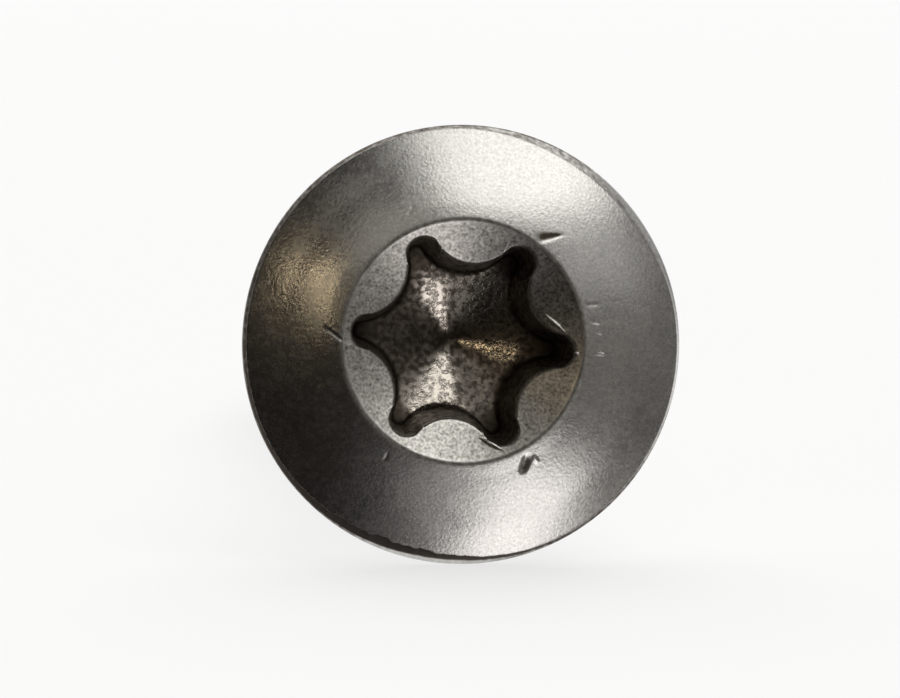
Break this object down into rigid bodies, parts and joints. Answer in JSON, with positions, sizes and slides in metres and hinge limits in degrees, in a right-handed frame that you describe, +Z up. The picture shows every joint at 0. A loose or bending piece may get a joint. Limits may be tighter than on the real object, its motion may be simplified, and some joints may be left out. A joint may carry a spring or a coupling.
{
  "type": "panelling screw",
  "caption": "Raised countersunk wood screw with a six-lobe drive recess, plain shank, coarse thread and sharp point, for fixing boards and panels.",
  "frame": {"origin": "on the table under the middle of the lying screw", "axes": "+Y along the screw from its head towards its point, which dips to the table; +Z up"},
  "size_m": [0.0078, 0.0258, 0.0077],
  "materials": {
    "steel": "satin stainless steel with a fine tumbled grain"
  },
  "bodies": {
    "root": {"screw": "steel"}
  },
  "joints": []
}
